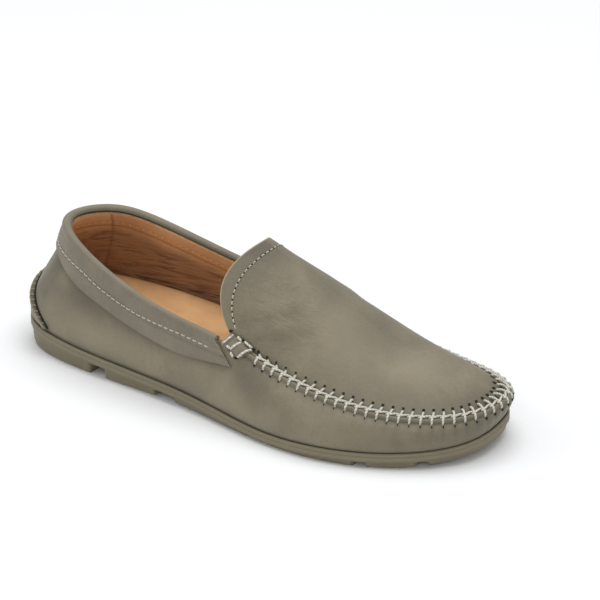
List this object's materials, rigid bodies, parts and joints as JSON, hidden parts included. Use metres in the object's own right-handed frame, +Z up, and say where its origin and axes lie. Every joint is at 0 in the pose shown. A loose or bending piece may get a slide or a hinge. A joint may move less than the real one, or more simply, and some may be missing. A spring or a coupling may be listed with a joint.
{
  "type": "driving moccasin",
  "caption": "Slip-on driving shoe for the right foot: leather moccasin upper with a sewn apron and tongue, collar band, heel patch and a low block rubber sole.",
  "frame": {"origin": "on the floor, under the middle of the shoe's length and width", "axes": "+X towards the toe, +Y towards the medial side (big toe), -Y towards the lateral side (little toe), +Z up"},
  "size_m": [0.292, 0.1088, 0.0852],
  "materials": {
    "leather": "oiled nubuck, olive taupe",
    "leather_band": "oiled nubuck, olive taupe",
    "rubber": "satin moulded rubber",
    "lining": "smooth tan lining leather"
  },
  "bodies": {
    "root": {"outsole": "rubber", "upper": "leather", "apron": "leather", "collar_band": "leather_band", "heel_counter": "leather", "side_tab_lateral": "leather_band", "side_tab_medial": "leather_band", "insole": "lining"}
  },
  "joints": []
}
